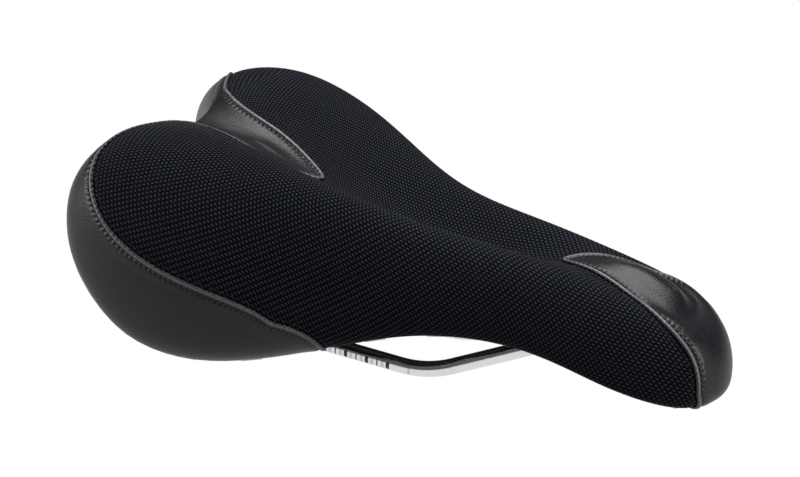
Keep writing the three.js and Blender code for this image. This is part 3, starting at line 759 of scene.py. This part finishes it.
def slow_variation():
    """Tone that drifts over centimetres, and a mask of dust on faces that look up."""
    tree, given, result = new_group(
        "slow_variation",
        [(FLOAT, "Patch", 0.03), (FLOAT, "Amount", 0.5)],
        [(FLOAT, "Tone"), (FLOAT, "Dust")])
    where = tree.nodes.new("ShaderNodeTexCoord").outputs["Object"]
    patch = add_node(tree, "ShaderNodeTexNoise", Detail=4.0)
    specks = add_node(tree, "ShaderNodeTexNoise", Detail=6.0, Scale=900.0)
    for texture in (patch, specks):
        tree.links.new(where, texture.inputs["Vector"])
    tree.links.new(maths(tree, "DIVIDE", 1, given["Patch"]), patch.inputs["Scale"])
    tone = maths(tree, "MULTIPLY_ADD", maths(tree, "SUBTRACT", patch.outputs["Fac"], 0.5), given["Amount"], 1)
    tree.links.new(tone, result["Tone"])
    facing = tree.nodes.new("ShaderNodeSeparateXYZ")
    tree.links.new(tree.nodes.new("ShaderNodeNewGeometry").outputs["Normal"], facing.inputs[0])
    lying = maths(tree, "POWER", maths(tree, "MAXIMUM", facing.outputs[2], 0), 3)
    grains = maths(tree, "SMOOTH_MAX", maths(tree, "MULTIPLY_ADD", specks.outputs["Fac"], 4, -2.3), 0, 0.1)
    tree.links.new(maths(tree, "MULTIPLY", lying, grains), result["Dust"])
    return tree


def seam_puckers():
    """Small dimples where stitches draw the cover down, and a mask along the raised fold of the edge, where
    the leather gets a painted highlight.
    """
    tree, given, result = new_group(
        "seam_puckers",
        [(VECTOR, "Seam Map", None), (FLOAT, "Row Distance", 0.0016), (FLOAT, "Pitch", 0.0024)],
        [(FLOAT, "Height"), (FLOAT, "Fold")])
    split = tree.nodes.new("ShaderNodeSeparateXYZ")
    tree.links.new(given["Seam Map"], split.inputs[0])
    wave = maths(tree, "COSINE", maths(tree, "DIVIDE", maths(tree, "MULTIPLY", split.outputs[1], 2 * math.pi),
                                       given["Pitch"]))
    off_row = maths(tree, "ABSOLUTE", maths(tree, "SUBTRACT", split.outputs[0], given["Row Distance"]))
    near_row = maths(tree, "MAXIMUM", maths(tree, "SUBTRACT", 1, maths(tree, "DIVIDE", off_row, 0.0022)), 0)
    tree.links.new(maths(tree, "MULTIPLY", wave, near_row), result["Height"])
    # Fold: 1 on the seam, falling to 0 at 1.2 mm from it; the leather paints a highlight with this mask.
    fold = maths(tree, "SUBTRACT", 1, maths(tree, "DIVIDE", split.outputs[0], 0.0012))
    tree.links.new(maths(tree, "MAXIMUM", fold, 0), result["Fold"])
    return tree


groups = {make.__name__: make() for make in (woven_picks, fine_grain, slow_variation, seam_puckers)}
print("shader groups:", ", ".join(groups))

# %% [markdown]
# ## Finishes
# Each material is one Principled shader. Values that are the same all over sit on its own sockets.
# Colour, roughness and bump change over the surface and come from the groups.


# %% Helpers for finishes
def new_finish(name, **sockets):
    material = bpy.data.materials.new(name)
    material.use_nodes = True
    tree = material.node_tree
    shader = tree.nodes["Principled BSDF"]
    for socket, value in sockets.items():
        shader.inputs[socket.replace("_", " ")].default_value = value
    return material, tree, shader


def use_group(tree, name, **values):
    node = tree.nodes.new("ShaderNodeGroup")
    node.node_tree = groups[name]
    for socket, value in values.items():
        socket = socket.replace("_", " ")
        if isinstance(value, (int, float)):
            node.inputs[socket].default_value = value
        else:
            tree.links.new(value, node.inputs[socket])
    return node.outputs


def uv_map(tree, name):
    return add_node(tree, "ShaderNodeUVMap", uv_map=name).outputs[0]


def mix_colours(tree, share, first, second):
    node = tree.nodes.new("ShaderNodeMix")
    node.data_type = "RGBA"
    tree.links.new(share, node.inputs["Factor"])
    colour_sockets = [s for s in node.inputs if s.type == "RGBA"]
    for socket, value in zip(colour_sockets, (first, second)):
        if isinstance(value, tuple):
            socket.default_value = (*value, 1)
        else:
            tree.links.new(value, socket)
    return [s for s in node.outputs if s.type == "RGBA"][0]


def scale_colour(tree, colour, factor):
    node = tree.nodes.new("ShaderNodeVectorMath")
    node.operation = "SCALE"
    tree.links.new(colour, node.inputs[0])
    tree.links.new(factor, node.inputs["Scale"])
    return node.outputs[0]


def bump(tree, shader, height, distance, strength=1.0):
    node = add_node(tree, "ShaderNodeBump", Distance=distance, Strength=strength)
    tree.links.new(height, node.inputs["Height"])
    tree.links.new(node.outputs[0], shader.inputs["Normal"])


# %% Finishes
def fabric_finish():
    material, tree, shader = new_finish(
        "woven_mesh_fabric", Sheen_Weight=0.02, Sheen_Roughness=0.4, Specular_IOR_Level=0.05)
    weave = use_group(tree, "woven_picks", Thread_Map=uv_map(tree, "UVMap"))
    drift = use_group(tree, "slow_variation", Patch=0.02, Amount=0.7)
    fuzz = use_group(tree, "fine_grain", Cell=0.00035, Crease=0.2)
    # Painted sheen: the picks are painted lighter than the ground between them, standing in for the light
    # their gloss catches from above. Their lower roughness below gives them real gloss as well.
    painted_pick_sheen = maths(tree, "MULTIPLY", weave["Pick"], drift["Tone"])
    colour = mix_colours(tree, painted_pick_sheen, (0.0022, 0.0024, 0.0036), (0.026, 0.029, 0.04))
    dust_and_painted_light = mix_colours(tree, maths(tree, "MULTIPLY", drift["Dust"], 0.02), colour, (0.16, 0.16, 0.17))
    tree.links.new(dust_and_painted_light, shader.inputs["Base Color"])
    tree.links.new(maths(tree, "MULTIPLY_ADD", weave["Pick"], -0.35, 0.88), shader.inputs["Roughness"])
    height = maths(tree, "MULTIPLY_ADD", fuzz["Height"], 0.15, weave["Height"])
    bump(tree, shader, height, 0.0003)
    return material


def leather_finish():
    material, tree, shader = new_finish("synthetic_leather", Specular_IOR_Level=0.34)
    grain = use_group(tree, "fine_grain", Cell=0.0007, Crease=0.8)
    drift = use_group(tree, "slow_variation", Patch=0.025, Amount=0.35)
    puckers = use_group(tree, "seam_puckers", Seam_Map=uv_map(tree, "seam"))
    tone = mix_colours(tree, grain["Height"], (0.005, 0.0053, 0.007), (0.009, 0.0094, 0.012))
    plain = scale_colour(tree, tone, drift["Tone"])
    # Painted highlight: a light grey along the proud fold of the leather's edge stands in for the light the
    # fold catches. Dust is mixed over it below.
    edge = maths(tree, "POWER", puckers["Fold"], 2.5)
    painted_fold_highlight = mix_colours(tree, edge, plain, (0.2, 0.2, 0.21))
    dust_and_painted_light = mix_colours(tree, maths(tree, "MULTIPLY", drift["Dust"], 0.03), painted_fold_highlight, (0.2, 0.2, 0.2))
    tree.links.new(dust_and_painted_light, shader.inputs["Base Color"])
    rough = maths(tree, "MULTIPLY_ADD", grain["Height"], 0.18, maths(tree, "MULTIPLY", drift["Tone"], 0.36))
    tree.links.new(rough, shader.inputs["Roughness"])
    height = maths(tree, "MULTIPLY_ADD", puckers["Height"], 1.6, grain["Height"])
    bump(tree, shader, height, 0.00009)
    return material


def thread_finish():
    material, tree, shader = new_finish("polyester_thread", Specular_IOR_Level=0.15)
    drift = use_group(tree, "slow_variation", Patch=0.004, Amount=0.8)
    tone = mix_colours(tree, drift["Tone"], (0.004, 0.004, 0.005), (0.012, 0.012, 0.015))
    colour = scale_colour(tree, tone, drift["Tone"])
    tree.links.new(colour, shader.inputs["Base Color"])
    twist = add_node(tree, "ShaderNodeTexWave", Scale=700.0, Distortion=1.5)
    tree.links.new(tree.nodes.new("ShaderNodeTexCoord").outputs["Object"], twist.inputs["Vector"])
    tree.links.new(maths(tree, "MULTIPLY_ADD", twist.outputs["Fac"], 0.2, 0.4), shader.inputs["Roughness"])
    bump(tree, shader, twist.outputs["Fac"], 0.00008)
    return material


def foam_finish():
    material, tree, shader = new_finish("moulded_foam", Specular_IOR_Level=0.3)
    pores = use_group(tree, "fine_grain", Cell=0.0008, Crease=1.4)
    drift = use_group(tree, "slow_variation", Patch=0.02, Amount=0.6)
    tone = mix_colours(tree, pores["Height"], (0.015, 0.015, 0.017), (0.06, 0.06, 0.064))
    colour = scale_colour(tree, tone, drift["Tone"])
    tree.links.new(colour, shader.inputs["Base Color"])
    tree.links.new(maths(tree, "MULTIPLY_ADD", pores["Height"], 0.1, 0.85), shader.inputs["Roughness"])
    bump(tree, shader, pores["Height"], 0.0005)
    return material


def moulding_finish():
    material, tree, shader = new_finish("moulded_base_plastic", Specular_IOR_Level=0.5)
    spark = use_group(tree, "fine_grain", Cell=0.0005, Crease=0.3)
    drift = use_group(tree, "slow_variation", Patch=0.04, Amount=0.5)
    tone = mix_colours(tree, spark["Height"], (0.008, 0.008, 0.009), (0.018, 0.018, 0.019))
    colour = scale_colour(tree, tone, drift["Tone"])
    tree.links.new(colour, shader.inputs["Base Color"])
    tree.links.new(maths(tree, "MULTIPLY_ADD", spark["Height"], 0.3, 0.35), shader.inputs["Roughness"])
    bump(tree, shader, spark["Height"], 0.00012)
    return material


def scale_marks(tree):
    """Masks of a printed scale on the outer side of a rail: strong marks every 5 mm, and faint ones."""
    split = tree.nodes.new("ShaderNodeSeparateXYZ")
    tree.links.new(tree.nodes.new("ShaderNodeTexCoord").outputs["Object"], split.inputs[0])
    x, y, z = split.outputs
    outer = maths(tree, "SUBTRACT", maths(tree, "ABSOLUTE", y), 0.022)
    facing = maths(tree, "MULTIPLY_ADD", outer, 0.98, maths(tree, "MULTIPLY", z, -0.19))
    on_side = maths(tree, "GREATER_THAN", facing, 0.86 * RAIL_RADIUS * MM)
    last_mark = 0.0128

    def every(step, start, half_width):
        turns = maths(tree, "DIVIDE", maths(tree, "SUBTRACT", x, start), step)
        off = maths(tree, "SUBTRACT", maths(tree, "FRACT", maths(tree, "ADD", turns, 0.5)), 0.5)
        return maths(tree, "LESS_THAN", maths(tree, "ABSOLUTE", off), half_width / step)

    blocks, ticks = every(0.010, last_mark, 0.0008), every(0.010, last_mark - 0.005, 0.0003)
    fine = every(0.005, last_mark - 0.0025, 0.0007)
    in_run = maths(tree, "MULTIPLY", maths(tree, "LESS_THAN", x, last_mark + 0.001),
                   maths(tree, "GREATER_THAN", x, -0.026))
    from_lone = maths(tree, "ABSOLUTE", maths(tree, "SUBTRACT", x, last_mark + 0.01))
    lone = maths(tree, "LESS_THAN", from_lone, 0.0006)
    bold = maths(tree, "MULTIPLY", maths(tree, "MAXIMUM", blocks, ticks), in_run)
    light = maths(tree, "MAXIMUM", maths(tree, "MULTIPLY", fine, in_run), lone)
    strong = maths(tree, "MULTIPLY", bold, on_side)
    faint = maths(tree, "MULTIPLY", light, on_side)
    return strong, faint


def rail_finish():
    material, tree, shader = new_finish("plated_rail_steel")
    brushed = use_group(tree, "fine_grain", Cell=0.0006, Crease=0.2)
    drift = use_group(tree, "slow_variation", Patch=0.02, Amount=0.3)
    strong, faint = scale_marks(tree)
    tone = mix_colours(tree, brushed["Height"], (0.72, 0.73, 0.75), (0.86, 0.87, 0.88))
    steel = scale_colour(tree, tone, drift["Tone"])
    pale = mix_colours(tree, maths(tree, "MULTIPLY", faint, 0.35), steel, (0.12, 0.12, 0.13))
    marked = mix_colours(tree, strong, pale, (0.01, 0.01, 0.01))
    tree.links.new(marked, shader.inputs["Base Color"])
    tree.links.new(maths(tree, "SUBTRACT", 1, strong), shader.inputs["Metallic"])
    rough = maths(tree, "MULTIPLY_ADD", brushed["Height"], 0.12, 0.13)
    tree.links.new(maths(tree, "MULTIPLY_ADD", strong, 0.3, rough), shader.inputs["Roughness"])
    bump(tree, shader, brushed["Height"], 0.00001)
    return material


def staple_finish():
    material, tree, shader = new_finish("galvanised_staple_wire", Metallic=1.0)
    bloom = use_group(tree, "fine_grain", Cell=0.0008, Crease=0.6)
    drift = use_group(tree, "slow_variation", Patch=0.006, Amount=0.5)
    tone = mix_colours(tree, bloom["Height"], (0.4, 0.41, 0.43), (0.7, 0.71, 0.73))
    colour = scale_colour(tree, tone, drift["Tone"])
    tree.links.new(colour, shader.inputs["Base Color"])
    tree.links.new(maths(tree, "MULTIPLY_ADD", bloom["Height"], 0.3, 0.2), shader.inputs["Roughness"])
    bump(tree, shader, bloom["Height"], 0.00003)
    return material


fabric, leather, thread, foam, moulding, rail_steel, staple_steel = (
    make() for make in (fabric_finish, leather_finish, thread_finish, foam_finish, moulding_finish,
                        rail_finish, staple_finish))


def dress(piece, material):
    piece.data.materials.clear()
    piece.data.materials.append(material)


# %% [markdown]
# ## Assembly
# Every new piece rides on the saddle's one body, takes the place of its node of the frame, which is
# hidden, and gets its finish. The cover panels are cloth and sheet leather, cut flat and stretched over
# the pad. How far they stretch is assumed, so each flat area is the panel's own area less that stretch,
# not a measured size. The shell and the staples keep their shape from the frame and get their finish.

# %% Rides and sheets
STRETCH = 1.04


def place_piece(piece, material, slot_name, *replaced):
    dress(piece, material)
    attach(piece, BODY)
    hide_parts(*replaced)


place_piece(rear_panel, leather, "synthetic_leather", "cover_rear_leather")
place_piece(fabric_panel, fabric, "fabric", "cover_main_fabric")
place_piece(nose_panel, leather, "synthetic_leather", "cover_nose_leather")
place_piece(pad, foam, "foam", "foam_pad")
place_piece(left_rail, rail_steel, "rail_steel", "rail_left")
place_piece(right_rail, rail_steel, "rail_steel", "rail_right")
for node, row in stitches.items():
    place_piece(row, thread, "thread", node)
dress(nodes["base_shell"], moulding)
for name, node in nodes.items():
    if name.startswith("staple"):
        dress(node, staple_steel)

for panel, area, flat, rows in (
        (rear_panel, rear_area, (0.21, 0.25), ("rear_leather_side",)),
        (fabric_panel, fabric_area, (0.27, 0.28), ("rear_fabric_side", "nose_fabric_side")),
        (nose_panel, nose_area, (0.09, 0.12), ("nose_leather_side",))):
    cut = area / STRETCH ** 2
    [stitches["seam_thread_" + row] for row in rows]
    print(panel.name, "cut", [round(side * 1000) for side in flat], "mm, flat area", round(cut * 1e4), "cm2")
